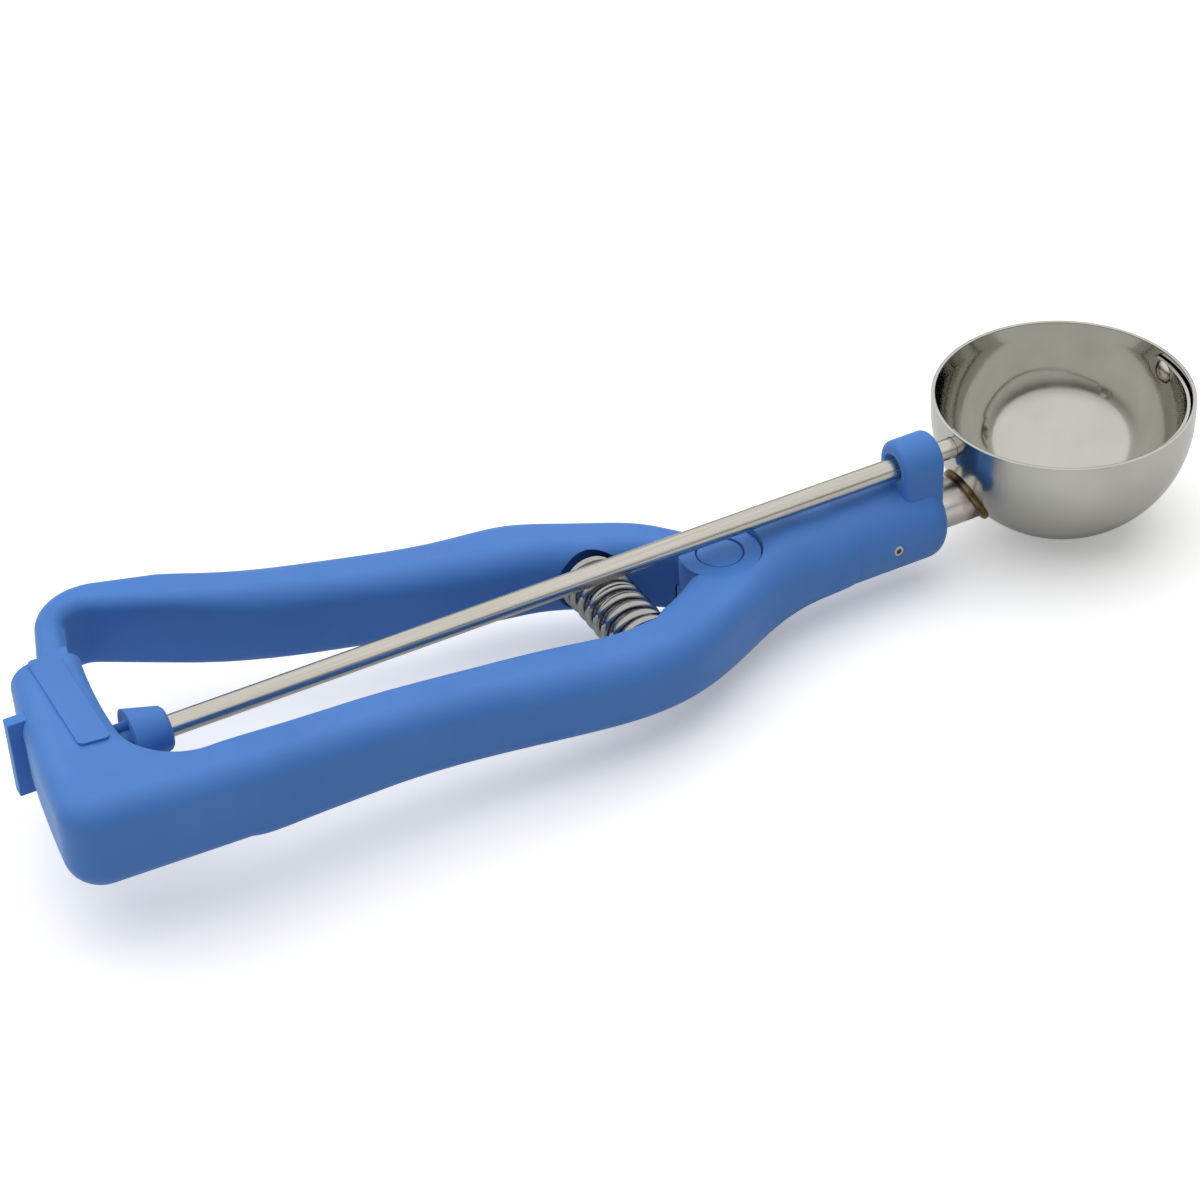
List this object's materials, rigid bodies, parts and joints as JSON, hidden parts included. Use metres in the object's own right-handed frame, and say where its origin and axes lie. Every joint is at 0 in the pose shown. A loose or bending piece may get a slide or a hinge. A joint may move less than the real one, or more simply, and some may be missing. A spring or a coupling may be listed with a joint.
{
  "type": "ice cream scoop",
  "caption": "Ice cream scoop with a round steel bowl, a scraper blade on a long rod, and a sprung squeeze handle whose lever turns the rod by a rack and pinion.",
  "frame": {"origin": "centre of the bowl's rim, in the plane of the rim", "axes": "+X from the handle to the bowl, along the scraper's rod; +Y from the fixed arm of the grip to the squeeze lever; +Z out of the bowl's mouth"},
  "size_m": [0.2354, 0.0651, 0.0329],
  "materials": {
    "blue_plastic": "fine moulded texture",
    "polished_steel": "polished stainless steel",
    "satin_steel": "satin stainless steel",
    "weld_bead": "heat-tinted weld",
    "spring_wire": "drawn spring wire"
  },
  "bodies": {
    "grip": {"grip_body": "blue_plastic", "stop_key": "blue_plastic", "hinge_pin": "blue_plastic", "hinge_clip": "satin_steel", "stem_tube": "satin_steel", "stem_weld": "weld_bead", "stem_pin": "satin_steel", "bowl": "polished_steel", "return_spring": "spring_wire"},
    "lever": {"squeeze_lever": "blue_plastic"},
    "scraper": {"scraper_rod": "satin_steel", "drive_pinion": "blue_plastic", "scraper_blade": "satin_steel", "pivot_rivet": "satin_steel"}
  },
  "joints": [
    {"name": "lever_squeeze", "type": "hinge", "parent": "grip", "child": "lever", "pos_m": [-0.075, 0, -0.012], "axis": [0, 0, 1], "range_deg": [0, 4.9], "stiffness_Nm_per_rad": 10, "springref_deg": -1.72, "deforming": ["return_spring"]},
    {"name": "scraper_turn", "type": "hinge", "parent": "grip", "child": "scraper", "pos_m": [0, 0, -0.0035], "axis": [1, 0, 0], "range_deg": [0, 170]}
  ],
  "couplings": [
    {"joint": "scraper_turn", "follows": "lever_squeeze", "ratio": 34.657}
  ]
}
